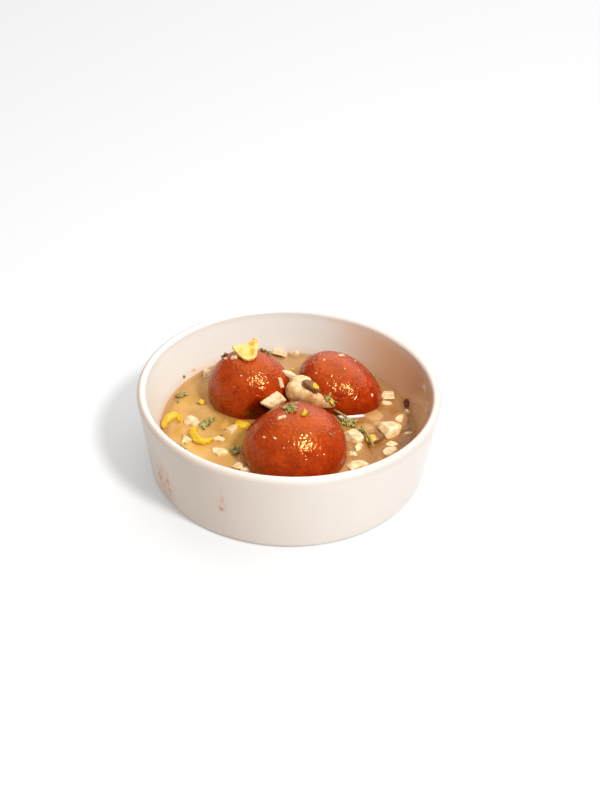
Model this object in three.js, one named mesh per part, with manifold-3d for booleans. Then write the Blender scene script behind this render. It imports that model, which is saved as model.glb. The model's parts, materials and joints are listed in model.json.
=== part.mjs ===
// Gulab jamun: three fried milk dumplings in light syrup, in a small straight-sided bowl,
// with chopped nuts and pistachios. Millimetres, +Z up, the bowl stands on z = 0.
import * as THREE from 'three';
import { mergeVertices } from 'three/addons/utils/BufferGeometryUtils.js';
import Module from 'manifold-3d';

const wasm = await Module();
wasm.setup();

// ---- driving dimensions ----
const GAP = 0.3;                    // clearance between pieces that touch

const RIM_RADIUS = 60;
const BOWL_HEIGHT = 36;
const FOOT_RADIUS = 55.9;           // where the wall would meet the table
const FOOT_CORNER = 2.5;
const LIP_WIDTH = 3.6;              // thickness of the rounded rim
const FLOOR_THICKNESS = 4;
const WALL_SLOPE = 0.3;             // how fast the hollow narrows going down
const FLOOR_CORNER = 14;            // round corner between the hollow's wall and floor

const SYRUP_LEVEL = 17;

// A ball's swells are soft lumps: toward a direction, how far out, and how wide.
const BALLS = {
  gulab_jamun_front: {
    at: [3, -22], radius: 20, halfHeight: 17.5, lean: [0, 0],
    swells: [
      { toward: [-0.7, -0.3, 0.4], rise: 0.03, spread: 0.25 },
      { toward: [0.8, 0.1, -0.1], rise: 0.03, spread: 0.3 },
      { toward: [0.3, 0.6, 0.7], rise: -0.02, spread: 0.2 },
    ],
  },
  gulab_jamun_left: {
    at: [-16.8, 15.8], radius: 16.9, halfHeight: 17.4, lean: [0, 0],
    swells: [
      { toward: [-0.6, -0.2, 0.6], rise: 0.025, spread: 0.2 },
      { toward: [0.8, -0.4, 0.1], rise: 0.03, spread: 0.3 },
      { toward: [0.5, 0.3, 0.8], rise: -0.02, spread: 0.2 },
    ],
  },
  gulab_jamun_right: {
    at: [20.9, 21.4], radius: 16.7, halfHeight: 15.1, lean: [-0.36, 0.1],
    swells: [
      { toward: [-0.5, -0.3, 0.8], rise: 0.03, spread: 0.25 },
      { toward: [0.9, -0.3, -0.2], rise: 0.02, spread: 0.3 },
      { toward: [0.7, 0, 0.7], rise: -0.025, spread: 0.2 },
    ],
  },
};

// Pieces of nut that float in the syrup: centre, size along, across and up, turn about Z.
// The cut faces get flatter as cut rises, and one end narrows by taper.
const FLOATING = {
  nut_right_upper: { at: [26.4, -8.4, 17.6], size: [8, 6.4, 4], turn: -35, cut: 4, taper: 0.25 },
  nut_right_lower: { at: [27.4, -26.2, 17.3], size: [9, 5.2, 3.2], turn: 20, cut: 2.4, taper: 0.2 },
  nut_chunk_large: { at: [41.2, -2.8, 17.9], size: [8.6, 7.6, 5], turn: 25, cut: 5, taper: 0.3 },
  nut_chunk_wall: { at: [45.6, 6.4, 15.8], size: [8.2, 5.4, 3.4], turn: 60, cut: 3, taper: 0.3 },
  nut_right_front: { at: [40.6, -16.4, 17.4], size: [6.4, 4.6, 3.4], turn: 35, cut: 3, taper: 0.2 },
  nut_left: { at: [-38.6, -2.4, 17.5], size: [6.2, 5.2, 4], turn: -20, cut: 4, taper: 0.2 },
  nut_left_front: { at: [-25.8, -21.4, 17.2], size: [6.2, 4, 2.6], turn: 10, cut: 2.8, taper: 0.4 },
  pistachio_chip: { at: [-18.4, -4, 17.8], size: [6.4, 4.6, 3], turn: -10, cut: 3.4, taper: 0.2 },
};

// Pistachio cut in strips curls as it dries: the middle line of each strip and how thick it is
// at each of its points.
const CURLS = {
  pistachio_arch: {
    spine: [
      [-49.4, -8.6, 18],
      [-49.3, -7.2, 20],
      [-47.4, -5, 21.4],
      [-44.9, -3, 21.2],
      [-43.5, -3.4, 19.4],
      [-42.8, -4, 17.8],
    ],
    thickness: [2.6, 3, 2.8, 3, 2.4, 1.8],
  },
  pistachio_curl: {
    spine: [
      [-37.4, -7.6, 18.9],
      [-37.7, -12.2, 18.6],
      [-35.9, -15.4, 18.2],
      [-33.1, -16.6, 18],
      [-30.8, -14.6, 17.9],
      [-28.8, -13.4, 17.8],
    ],
    thickness: [2.8, 3.6, 4, 3.6, 2.2, 1.2],
  },
};

// A bent half of a cashew lies over the place where the three dumplings meet. Its lumps run
// together: the square end at the back, the belly, and the tail that thins to the right.
const CASHEW_LUMPS = [
  { at: [4.6, 9, 30.9], size: [7.8, 5.8, 5.6], turn: -8, cut: 3.4, taper: 0.1 },
  { at: [2, 6.8, 28.2], size: [7.8, 8, 8.6], cut: 2.2, taper: 0 },
  { at: [6.2, 5.4, 27.8], size: [8.6, 7, 7.4], cut: 2.2, taper: 0.1 },
  { at: [10.4, 4.8, 25.9], size: [8, 5.2, 5.6], raise: 20, cut: 2.2, taper: 0.2 },
  { at: [14, 4.6, 24.2], size: [6.6, 4, 3.8], raise: 20, cut: 2.4, taper: 0.1 },
  { at: [16.2, 4.8, 23.4], size: [4.6, 3, 2], raise: 12, cut: 4, taper: 0.2 },
];

// Pistachio kernels still in their skins: centre, size, turn about Z, how far one end is raised.
const KERNELS = {
  kernel_right: { at: [34.6, -9.4, 18], size: [8, 5.6, 4.6], turn: 20, raise: -8 },
  kernel_on_cashew: { at: [8.8, 4.9, 32], size: [8.2, 4.2, 3.6], turn: -20, raise: 25 },
};

// A sliver of almond leans on the left dumpling: the corners of its near face, and how far
// each goes back and down.
const CHIP_CORNERS = [
  { at: [-11.6, -0.8, 27], back: 1.2 },
  { at: [-4.8, 3.1, 30.4], back: 2.4 },
  { at: [-1.4, 3.2, 26.8], back: 2 },
  { at: [-7.5, -1.6, 25.6], back: 2.2 },
];
const CHIP_BACK = [0.1, 0.6, -0.8];

const FLAKE = { at: [-17.9, 16, 39.9], tip: 22 };
const FLAKE_OUTLINE = [
  [-6.1, 1.1], [-3.8, 1.9], [0.2, 3.1], [1.6, 4.7], [2.8, 5.5], [4.2, 4.1], [4.5, 1.2],
  [4.2, -2.6], [3.2, -4.2], [0.6, -5.1], [-1.2, -4.4], [-2.8, -2.9], [-4.8, -0.8],
];
const FLAKE_THICKNESS = 1.4;
const FLAKE_BEND = 0.03;            // how deep the flake is cupped, per mm squared from its middle

// ---- how finely round shapes are faceted ----
const BOWL_SEGMENTS = 48;
const BALL_SEGMENTS = [22, 13];
const NUT_SEGMENTS = [12, 8];
const KERNEL_SEGMENTS = [14, 10];
const LUMP_SEGMENTS = [10, 7];
const CURL_SEGMENTS = [12, 8];

// ---- colours ----
const COLOURS = {
  china: { color: 0xf3e9df, roughness: 0.3 },
  syrup: { color: 0xd69a4a, roughness: 0.08 },
  dumpling: { color: 0xa83608, roughness: 0.28 },
  nut: { color: 0xf2d9a4, roughness: 0.6 },
  pistachio: { color: 0xe3b81e, roughness: 0.6 },
  kernel: { color: 0x8d6a3c, roughness: 0.6 },
};

// ---- solids and meshes ----
function solidOf(geometry) {
  const bare = geometry.clone();
  bare.deleteAttribute('normal');
  bare.deleteAttribute('uv');
  const merged = mergeVertices(bare, 1e-4);
  return new wasm.Manifold(new wasm.Mesh({
    numProp: 3,
    vertProperties: new Float32Array(merged.attributes.position.array),
    triVerts: new Uint32Array(merged.index.array),
  }));
}

function geometryOf(solid) {
  const mesh = solid.getMesh();
  const geometry = new THREE.BufferGeometry();
  geometry.setAttribute('position', new THREE.BufferAttribute(mesh.vertProperties, 3));
  geometry.setIndex(new THREE.BufferAttribute(mesh.triVerts, 1));
  geometry.computeVertexNormals();
  return geometry;
}

function namedMesh(name, geometry, look, place = {}) {
  const mesh = new THREE.Mesh(geometry, new THREE.MeshStandardMaterial({ ...COLOURS[look], metalness: 0 }));
  mesh.name = name;
  return pose(mesh, place);
}

// tip turns a piece about X, then raise about Y, then turn about Z, all in degrees.
function pose(object, { at = [0, 0, 0], turn = 0, tip = 0, raise = 0 }) {
  object.position.set(...at);
  object.rotation.set(...[tip, raise, turn].map(THREE.MathUtils.degToRad), 'ZYX');
  object.updateMatrix();
  return object;
}

// The solid of a shape where it stands in the bowl.
function standing(geometry, place = {}) {
  return solidOf(geometry.clone().applyMatrix4(pose(new THREE.Object3D(), place).matrix));
}

function joined(solids) {
  return solids.reduce((all, one) => all.add(one));
}

// Lathes turn about Y, so the finished shape is laid over to stand on Z.
function turned(outline, segments) {
  return new THREE.LatheGeometry(outline, segments).rotateX(Math.PI / 2);
}

// Points of an arc in the (radius, height) plane, angles in degrees from the outward direction.
function arc(centre, radius, from, to, steps) {
  const points = [];
  for (let i = 0; i <= steps; i++) {
    const angle = THREE.MathUtils.degToRad(from + (to - from) * i / steps);
    points.push(new THREE.Vector2(
      centre[0] + radius * Math.cos(angle),
      centre[1] + radius * Math.sin(angle),
    ));
  }
  return points;
}

// ---- the bowl ----
const HOLLOW_TILT = THREE.MathUtils.radToDeg(Math.atan(WALL_SLOPE));
const WALL_STRETCH = Math.hypot(1, WALL_SLOPE);
const LIP_HEIGHT = BOWL_HEIGHT - LIP_WIDTH / 2;
const HOLLOW_RIM_RADIUS = RIM_RADIUS - LIP_WIDTH;

// The round corner is tangent to the floor and to the sloping wall.
const CORNER_HEIGHT = FLOOR_THICKNESS + FLOOR_CORNER;
const CORNER_RADIUS_AT = HOLLOW_RIM_RADIUS
  - WALL_SLOPE * (LIP_HEIGHT - CORNER_HEIGHT)
  - FLOOR_CORNER * WALL_STRETCH;

function hollowCorner(offset) {
  return arc([CORNER_RADIUS_AT, CORNER_HEIGHT], FLOOR_CORNER - offset, -90, -HOLLOW_TILT, 5);
}

function bowlGeometry() {
  const outline = [
    new THREE.Vector2(0, 0),
    ...arc([FOOT_RADIUS - FOOT_CORNER, FOOT_CORNER], FOOT_CORNER, -90, -6, 4),
    ...arc([RIM_RADIUS - LIP_WIDTH / 2, LIP_HEIGHT], LIP_WIDTH / 2, 0, 180, 7),
    ...hollowCorner(0).reverse(),
    new THREE.Vector2(0, FLOOR_THICKNESS),
  ];
  return turned(outline, BOWL_SEGMENTS);
}

// ---- the dumplings ----
function swollen(direction, swells) {
  let scale = 1;
  for (const { toward, rise, spread } of swells) {
    const facing = new THREE.Vector3(...toward).normalize().dot(direction);
    scale += rise * Math.exp((facing - 1) / spread);
  }
  return scale;
}

// Every shape below can be made larger all round by clear, for the room it takes in others.
function ballGeometry({ radius, halfHeight, lean, swells }, clear = 0) {
  const geometry = new THREE.SphereGeometry(1, ...BALL_SEGMENTS).rotateX(Math.PI / 2);
  const points = geometry.attributes.position;
  const point = new THREE.Vector3();
  for (let i = 0; i < points.count; i++) {
    point.fromBufferAttribute(points, i);
    const scale = swollen(point, swells);
    const height = point.z * (halfHeight * scale + clear);
    points.setXYZ(
      i,
      point.x * (radius * scale + clear) + lean[0] * height,
      point.y * (radius * scale + clear) + lean[1] * height,
      height,
    );
  }
  return geometry;
}

function ballPlace({ at, halfHeight }) {
  return { at: [...at, FLOOR_THICKNESS + GAP + halfHeight] };
}

// ---- nuts ----
function nutGeometry({ size, cut, taper }, clear = 0, segments = NUT_SEGMENTS) {
  const geometry = new THREE.SphereGeometry(1, ...segments);
  const points = geometry.attributes.position;
  for (let i = 0; i < points.count; i++) {
    const [x, y, z] = [points.getX(i), points.getY(i), points.getZ(i)];
    const reach = (Math.abs(x) ** cut + Math.abs(y) ** cut + Math.abs(z) ** cut) ** (-1 / cut);
    const narrow = 1 - taper * (x * reach + 0.5 * z);
    const shallow = 1 - 0.4 * taper * y;
    points.setXYZ(
      i,
      x * reach * (size[0] / 2 + clear),
      y * reach * (size[1] / 2 * narrow + clear),
      z * reach * (size[2] / 2 * shallow + clear),
    );
  }
  return geometry;
}

// A closed body swept along a curve. sectionAt gives the section's two half-sizes at a share
// of the length.
function swept(curve, [steps, sides], sectionAt) {
  const frames = curve.computeFrenetFrames(steps);
  const positions = [];
  const faces = [];
  for (let i = 0; i <= steps; i++) {
    const share = i / steps;
    const centre = curve.getPointAt(share);
    const [wide, deep] = sectionAt(share);
    for (let j = 0; j < sides; j++) {
      const angle = 2 * Math.PI * j / sides;
      const point = centre.clone()
        .addScaledVector(frames.normals[i], wide * Math.cos(angle))
        .addScaledVector(frames.binormals[i], deep * Math.sin(angle));
      positions.push(...point);
    }
  }
  for (let i = 0; i < steps; i++) {
    for (let j = 0; j < sides; j++) {
      const here = i * sides + j;
      const beside = i * sides + (j + 1) % sides;
      faces.push(here, beside, here + sides, here + sides, beside, beside + sides);
    }
  }
  const last = steps * sides;
  for (let j = 1; j < sides - 1; j++) {
    faces.push(0, j + 1, j);
    faces.push(last, last + j, last + j + 1);
  }
  const geometry = new THREE.BufferGeometry();
  geometry.setAttribute('position', new THREE.Float32BufferAttribute(positions, 3));
  geometry.setIndex(faces);
  return geometry;
}

// How thick a rounded strip is along its length, from its blunt ends to its middle.
function bluntEnds(share) {
  return 0.4 + 0.6 * Math.sin(Math.PI * share) ** 0.5;
}

function curlGeometry({ spine, thickness }, clear = 0) {
  const line = new THREE.CatmullRomCurve3(spine.map((point) => new THREE.Vector3(...point)));
  const spans = thickness.length - 1;
  const sectionAt = (share) => {
    const before = Math.min(Math.floor(share * spans), spans - 1);
    const thick = THREE.MathUtils.lerp(thickness[before], thickness[before + 1], share * spans - before);
    const half = thick / 2 * bluntEnds(share);
    return [half + clear, half * 0.8 + clear];
  };
  return swept(line, CURL_SEGMENTS, sectionAt);
}

function cashewSolid(clear = 0) {
  return joined(
    CASHEW_LUMPS.map((lump) => standing(nutGeometry(lump, clear, LUMP_SEGMENTS), lump)),
  );
}

function chipSolid() {
  const corners = CHIP_CORNERS.flatMap(({ at, back }) => [
    at,
    at.map((value, axis) => value + CHIP_BACK[axis] * back),
  ]);
  return wasm.Manifold.hull(corners);
}

// Two lobes side by side, with the groove between them along the top.
function kernelGeometry({ size }, clear = 0) {
  const geometry = new THREE.SphereGeometry(1, ...KERNEL_SEGMENTS).rotateZ(Math.PI / 2);
  const points = geometry.attributes.position;
  for (let i = 0; i < points.count; i++) {
    const [x, y, z] = [points.getX(i), points.getY(i), points.getZ(i)];
    const groove = z > 0 ? 0.18 * Math.exp(-((y / 0.25) ** 2)) * (1 - x * x) : 0;
    points.setXYZ(
      i,
      x * (size[0] / 2 + clear),
      y * (size[1] / 2 * (1 - 0.2 * x) + clear),
      z * (size[2] / 2 * (1 - groove) + clear),
    );
  }
  return geometry;
}

// A thin cupped flake, pointed at the left, with a raised corner at the back right.
function flakeGeometry() {
  const outline = new THREE.Shape(FLAKE_OUTLINE.map((point) => new THREE.Vector2(...point)));
  const geometry = new THREE.ExtrudeGeometry(outline, { depth: FLAKE_THICKNESS, bevelEnabled: false });
  const points = geometry.attributes.position;
  for (let i = 0; i < points.count; i++) {
    const [x, y] = [points.getX(i), points.getY(i)];
    points.setZ(i, points.getZ(i) + FLAKE_BEND * (x * x + y * y));
  }
  return geometry;
}

// ---- the syrup ----
// It fills the hollow to its level, clear of the china, the dumplings and what floats in it.
function syrupGeometry(room) {
  const edge = HOLLOW_RIM_RADIUS - WALL_SLOPE * (LIP_HEIGHT - SYRUP_LEVEL) - GAP * WALL_STRETCH;
  const outline = [
    new THREE.Vector2(0, FLOOR_THICKNESS + GAP),
    ...hollowCorner(GAP),
    new THREE.Vector2(edge, SYRUP_LEVEL),
    new THREE.Vector2(0, SYRUP_LEVEL),
  ];
  return geometryOf(solidOf(turned(outline, BOWL_SEGMENTS)).subtract(room));
}

// ---- the whole ----
const roomForBalls = joined(
  Object.values(BALLS).map((ball) => standing(ballGeometry(ball, GAP), ballPlace(ball))),
);
const roomForFloating = joined([
  ...Object.values(FLOATING).map((nut) => standing(nutGeometry(nut, GAP), nut)),
  ...Object.values(CURLS).map((curl) => solidOf(curlGeometry(curl, GAP))),
  standing(kernelGeometry(KERNELS.kernel_right, GAP), KERNELS.kernel_right),
]);
const roomForCashew = cashewSolid(GAP);

const food = new THREE.Group();
food.add(namedMesh('syrup', syrupGeometry(roomForBalls.add(roomForFloating)), 'syrup'));
for (const [name, ball] of Object.entries(BALLS)) {
  food.add(namedMesh(name, ballGeometry(ball), 'dumpling', ballPlace(ball)));
}

const toppings = new THREE.Group();
for (const [name, nut] of Object.entries(FLOATING)) {
  toppings.add(namedMesh(name, nutGeometry(nut), name.startsWith('nut') ? 'nut' : 'pistachio', nut));
}
for (const [name, curl] of Object.entries(CURLS)) {
  toppings.add(namedMesh(name, curlGeometry(curl), 'pistachio'));
}
toppings.add(namedMesh('kernel_right', kernelGeometry(KERNELS.kernel_right), 'kernel', KERNELS.kernel_right));

// What lies on the dumplings is cut to sit on them.
const resting = [
  ['cashew', cashewSolid(), 'nut', roomForBalls],
  ['almond_chip', chipSolid(), 'nut', roomForBalls.add(roomForCashew)],
  ['pistachio_flake', standing(flakeGeometry(), FLAKE), 'pistachio', roomForBalls],
  [
    'kernel_on_cashew',
    standing(kernelGeometry(KERNELS.kernel_on_cashew), KERNELS.kernel_on_cashew),
    'kernel',
    roomForBalls.add(roomForCashew),
  ],
];
for (const [name, solid, look, room] of resting) {
  toppings.add(namedMesh(name, geometryOf(solid.subtract(room)), look));
}

const gulabJamun = new THREE.Group();
gulabJamun.add(namedMesh('bowl', bowlGeometry(), 'china'), food, toppings);

export default gulabJamun;
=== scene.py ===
# %% [markdown]
# # Gulab jamun in a small china bowl
# Three fried milk dumplings stand in a shallow pool of warm syrup, in a cream bowl with straight
# sides. Chopped cashew and almond, pistachio and dried herb are scattered over them.
#
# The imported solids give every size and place. Here each of them gets its real surface: the
# dumplings their wrinkled skin, the syrup its curved edges, the nuts their broken faces.

# %% Load the solids
import json
import math
import random

import bmesh
import bpy
import numpy as np
from mathutils import Euler, Matrix, Vector, noise
from mathutils.bvhtree import BVHTree

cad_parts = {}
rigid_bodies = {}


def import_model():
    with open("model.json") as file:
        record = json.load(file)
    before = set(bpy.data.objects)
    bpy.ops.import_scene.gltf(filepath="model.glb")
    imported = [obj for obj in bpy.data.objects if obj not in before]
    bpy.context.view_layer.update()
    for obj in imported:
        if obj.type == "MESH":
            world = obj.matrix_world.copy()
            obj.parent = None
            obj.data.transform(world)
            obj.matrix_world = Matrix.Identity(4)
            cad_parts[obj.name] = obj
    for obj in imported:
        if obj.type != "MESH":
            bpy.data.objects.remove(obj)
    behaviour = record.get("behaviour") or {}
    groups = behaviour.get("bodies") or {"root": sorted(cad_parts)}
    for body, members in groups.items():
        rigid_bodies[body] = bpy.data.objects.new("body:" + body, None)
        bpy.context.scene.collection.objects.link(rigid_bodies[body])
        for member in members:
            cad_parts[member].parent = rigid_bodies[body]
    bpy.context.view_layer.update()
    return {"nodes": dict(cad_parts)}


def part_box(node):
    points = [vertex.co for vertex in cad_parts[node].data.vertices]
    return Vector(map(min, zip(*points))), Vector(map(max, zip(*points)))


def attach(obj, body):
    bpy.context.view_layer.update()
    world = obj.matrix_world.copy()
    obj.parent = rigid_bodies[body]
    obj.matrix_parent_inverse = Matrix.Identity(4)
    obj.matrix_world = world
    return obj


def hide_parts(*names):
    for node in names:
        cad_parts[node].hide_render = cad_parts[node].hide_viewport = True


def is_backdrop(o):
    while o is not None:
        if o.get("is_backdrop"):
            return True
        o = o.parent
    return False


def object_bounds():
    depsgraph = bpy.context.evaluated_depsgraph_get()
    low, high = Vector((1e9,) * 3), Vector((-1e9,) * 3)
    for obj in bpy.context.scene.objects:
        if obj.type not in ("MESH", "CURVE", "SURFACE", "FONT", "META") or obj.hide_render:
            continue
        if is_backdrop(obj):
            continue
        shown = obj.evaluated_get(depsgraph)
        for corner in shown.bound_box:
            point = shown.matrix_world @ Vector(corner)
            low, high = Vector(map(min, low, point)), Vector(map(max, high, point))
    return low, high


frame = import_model()
MM = 0.001

# %% [markdown]
# ## Main sizes
# Nothing here is typed in twice. The rim and the height come from the bowl's box, the syrup's level
# from the syrup's box. Shapes are worked out in millimetres, which are easier to picture for food,
# and become metres when a mesh is made.

# %% Main sizes
def node_box(node):
    low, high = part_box(node)
    return low / MM, high / MM


BOWL_LOW, BOWL_HIGH = node_box("bowl")
SYRUP_LOW, SYRUP_HIGH = node_box("syrup")
RIM_RADIUS = BOWL_HIGH.x
BOWL_HEIGHT = BOWL_HIGH.z
SYRUP_LEVEL = SYRUP_HIGH.z
SYRUP_RADIUS = SYRUP_HIGH.x
DUMPLINGS = ["gulab_jamun_front", "gulab_jamun_left", "gulab_jamun_right"]
print("rim radius", round(RIM_RADIUS, 1), "syrup level", round(SYRUP_LEVEL, 1), "mm")

# %% [markdown]
# ## Camera
# The view looks down on the bowl at about 35 degrees, close enough for the near side to look
# larger than the far side. It is also rolled two degrees about its own axis, so the bowl leans a
# little in the frame. A camera looks along its own -Z, so it is tipped up from straight down.

# %% Camera
ELEVATION = math.radians(35.25)
ROLL = math.radians(2.27)
AIM = Vector((4.3, 0, 28.6)) * MM
DISTANCE = 450 * MM

lens = bpy.data.cameras.new("camera")
lens.lens = 50.86
lens.clip_start = 0.01
camera = bpy.data.objects.new("camera", lens)
bpy.context.scene.collection.objects.link(camera)
tip = Matrix.Rotation(math.pi / 2 - ELEVATION, 4, "X")
back = tip.to_3x3() @ Vector((0, 0, 1))
camera.matrix_world = Matrix.Translation(AIM + back * DISTANCE) @ tip @ Matrix.Rotation(ROLL, 4, "Z")
bpy.context.scene.camera = camera
print("camera at", [round(c / MM) for c in camera.matrix_world.translation], "mm")

# %% [markdown]
# ## Shader maths in plain Python
# A material is a net of nodes. Wiring it by hand hides the sums, so one small class wraps a
# node's output and lets `1 - mask` or `height * 2` add the Math nodes. Colours and vectors have
# methods of their own, because a Math node turns a colour grey. Everything else comes from
# `Finish.node`, which sets the node up first and then fills its sockets.

# %% Shader helpers
class Wire:
    def __init__(self, finish, socket):
        self.finish, self.socket = finish, socket

    def math(self, operation, first, second):
        return self.finish.node("ShaderNodeMath", {"operation": operation}, {0: first, 1: second})

    def __add__(self, other):
        return self.math("ADD", self, other)

    def __sub__(self, other):
        return self.math("SUBTRACT", self, other)

    def __rsub__(self, other):
        return self.math("SUBTRACT", other, self)

    def __mul__(self, other):
        return self.math("MULTIPLY", self, other)

    def above(self, start, end):
        """0 up to start, 1 from end, smooth between."""
        return self.finish.node(
            "ShaderNodeMapRange", {"interpolation_type": "SMOOTHSTEP"},
            {"Value": self, "From Min": start, "From Max": end})

    def below(self, start, end):
        """1 up to start, 0 from end."""
        return 1 - self.above(start, end)

    __radd__ = __add__
    __rmul__ = __mul__


class Finish:
    """One material. Its places are in millimetres, in the object's own frame."""

    def __init__(self, name):
        self.material = bpy.data.materials.new(name)
        self.material.use_nodes = True
        self.material.node_tree.nodes.clear()
        metres = self.node("ShaderNodeTexCoord", output="Object")
        self.place = self.node(
            "ShaderNodeVectorMath", {"operation": "SCALE"}, {0: metres, "Scale": 1 / MM})

    def node(self, kind, settings=None, sockets=None, output=0):
        made = self.material.node_tree.nodes.new(kind)
        for name, value in (settings or {}).items():
            setattr(made, name, value)
        for name, value in (sockets or {}).items():
            if isinstance(value, Wire):
                self.material.node_tree.links.new(value.socket, made.inputs[name])
            else:
                made.inputs[name].default_value = value
        return Wire(self, made.outputs[output])

    def axis(self, letter):
        return self.node("ShaderNodeSeparateXYZ", None, {0: self.place}, output=letter)

    def from_axis(self):
        """How far a place is from the upright axis."""
        flat = self.node(
            "ShaderNodeVectorMath", {"operation": "MULTIPLY"}, {0: self.place, 1: (1, 1, 0)})
        return self.node("ShaderNodeVectorMath", {"operation": "LENGTH"}, {0: flat}, output="Value")

    def noise(self, size, detail=2, stretch=(1, 1, 1)):
        """Soft noise whose lumps are about size mm across."""
        stretched = self.node(
            "ShaderNodeVectorMath", {"operation": "DIVIDE"}, {0: self.place, 1: stretch})
        return self.node(
            "ShaderNodeTexNoise", None, {"Vector": stretched, "Scale": 1 / size, "Detail": detail})

    def near(self, centre, reach):
        """1 at a place, fading to 0 at the edge of an oval that reaches so far each way."""
        away = self.node(
            "ShaderNodeVectorMath", {"operation": "SUBTRACT"}, {0: self.place, 1: centre})
        shares = self.node("ShaderNodeVectorMath", {"operation": "DIVIDE"}, {0: away, 1: reach})
        distance = self.node(
            "ShaderNodeVectorMath", {"operation": "LENGTH"}, {0: shares}, output="Value")
        return distance.below(0, 1)

    def mix(self, factor, first, second):
        first, second = [c if isinstance(c, Wire) else (*c, 1) for c in (first, second)]
        return self.node(
            "ShaderNodeMix", {"data_type": "RGBA"}, {0: factor, 6: first, 7: second}, output=2)

    def bump(self, height, depth):
        """height runs from 0 to 1 over depth mm."""
        return self.node(
            "ShaderNodeBump", None, {"Height": height, "Distance": depth * MM, "Strength": 1})

    def surface(self, **sockets):
        return self.node(
            "ShaderNodeBsdfPrincipled", None,
            {name.replace("_", " "): value for name, value in sockets.items()})

    def done(self, surface):
        end = self.material.node_tree.nodes.new("ShaderNodeOutputMaterial")
        self.material.node_tree.links.new(surface.socket, end.inputs["Surface"])
        return self.material


def shade(red, green, blue):
    """A colour as a screen shows it, 0 to 255, turned into the light that Blender adds up."""
    return tuple(
        s / 12.92 if s <= 0.04045 else ((s + 0.055) / 1.055) ** 2.4
        for s in (red / 255, green / 255, blue / 255))


print("white is", shade(255, 255, 255))

# %% [markdown]
# ## Table
# A plain white table, one flat face with a matt paper finish. It gives off a little light of its
# own, so that the open part stays white while the bowl's soft shadow on it stays pale grey.

# %% Table
TABLE_REACH = 1.5

table_mesh = bpy.data.meshes.new("table")
table_mesh.from_pydata(
    [(x * TABLE_REACH, y * TABLE_REACH, 0) for x, y in ((-1, -1), (1, -1), (1, 1), (-1, 1))],
    [], [(0, 1, 2, 3)])
table = bpy.data.objects.new("table", table_mesh)
bpy.context.scene.collection.objects.link(table)
paper = Finish("paper")
table_mesh.materials.append(paper.done(paper.surface(
    Base_Color=(0.52, 0.52, 0.52, 1), Roughness=0.9, Specular_IOR_Level=0,
    Emission_Color=(1, 1, 1, 1), Emission_Strength=0.32)))
table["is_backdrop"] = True
print("table:", 2 * TABLE_REACH, "m each way")

# %% [markdown]
# ## Light
# Three round lights. A small bright one, in front on the right, makes the sharp glints on the
# dumplings: the smaller a light, the smaller its glint in each wrinkle. A large one overhead
# fills the hollow of the bowl, and a large one behind lights the tops and the table in front.
# The room adds weak even light, so that no shadow goes black.

# %% Light
def softbox(name, direction, distance, width, watts):
    """A round light, width m across, that faces the syrup from distance m away."""
    box = bpy.data.lights.new(name, "AREA")
    box.shape = "DISK"
    box.size = width
    box.energy = watts
    lamp = bpy.data.objects.new(name, box)
    bpy.context.scene.collection.objects.link(lamp)
    toward = Vector(direction).normalized()
    lamp.location = Vector((0, 0, SYRUP_LEVEL * MM)) + toward * distance
    lamp.rotation_euler = toward.to_track_quat("Z", "Y").to_euler()


softbox("side_softbox", (0.42, -0.47, 0.77), distance=1.0, width=0.18, watts=9.5)
softbox("top_softbox", (-0.1, -0.35, 0.93), distance=1.2, width=2.0, watts=4.0)
softbox("back_softbox", (0.2, 0.62, 0.75), distance=1.2, width=2.2, watts=16.0)

room = bpy.data.worlds.new("room")
bpy.context.scene.world = room
room.use_nodes = True
room.node_tree.nodes["Background"].inputs["Color"].default_value = (1, 1, 1, 1)
room.node_tree.nodes["Background"].inputs["Strength"].default_value = 0.17
bpy.context.scene.view_settings.view_transform = "Standard"

# %% [markdown]
# ## Making a piece
# Every piece ends in the same few steps: points in millimetres become a mesh in metres, it gets
# its finish, it rides on the one body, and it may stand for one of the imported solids.

# %% Piece helpers
def piece_of(name, points, faces, finish, nodes=()):
    mesh = bpy.data.meshes.new(name)
    mesh.from_pydata([tuple(c * MM for c in p) for p in points], [], faces)
    mesh.validate()
    mesh.shade_smooth()
    mesh.materials.append(finish)
    piece = bpy.data.objects.new(name, mesh)
    bpy.context.scene.collection.objects.link(piece)
    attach(piece, "root")
    if nodes:
        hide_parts(*nodes)
    print(name, len(mesh.polygons), "faces")
    return piece


def fitted(points, low, high):
    """points, stretched so that their box is the box from low to high."""
    points, low, high = np.array(points), np.array(low), np.array(high)
    own_low, own_high = points.min(0), points.max(0)
    return low + (points - own_low) / (own_high - own_low) * (high - low)


def ripple(point, size, detail=2):
    """Noise from -1 to 1 whose lumps are about size mm across."""
    return noise.fractal(Vector(point) / size, 1.0, 2.0, detail)


print("a ripple at the rim:", round(ripple((RIM_RADIUS, 0, BOWL_HEIGHT), 30), 2))

# %% [markdown]
# ## China
# The bowl is cream stoneware under a clear glaze: warm white, softly glossy, a touch darker
# outside. Painted shade darkens the outer wall more: deep and warm on the left, and a little on
# the right, where the side light falls hardest. A mask is a number from 0 to 1 that says where a
# colour goes, and the masks mix the colours. The inside is told from the outside by comparing two
# lengths: how far a place is from the axis, and how far the middle of the wall is at that height.

# %% China glaze
MIDDLE_AT_TABLE = 51.2
MIDDLE_SLOPE = 0.2

china = Finish("glazed_china")
height = china.axis("Z")
across = china.axis("X")
away = china.from_axis()
middle = height * MIDDLE_SLOPE + MIDDLE_AT_TABLE
inside = (away - middle).below(-0.5, 0.5) * height.above(3, 4)
glaze_and_painted_light = china.mix(
    china.noise(14, 2).above(0.35, 0.7) * 0.3, shade(230, 221, 212), shade(225, 214, 203))
glaze_and_painted_light = china.mix(inside, glaze_and_painted_light, shade(228, 225, 217))
# Painted shade: the outer wall is darker and warmer on the left.
glaze_and_painted_light = china.mix((1 - inside) * across.below(-52, 40) * 0.72, glaze_and_painted_light, shade(212, 189, 168))
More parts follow.
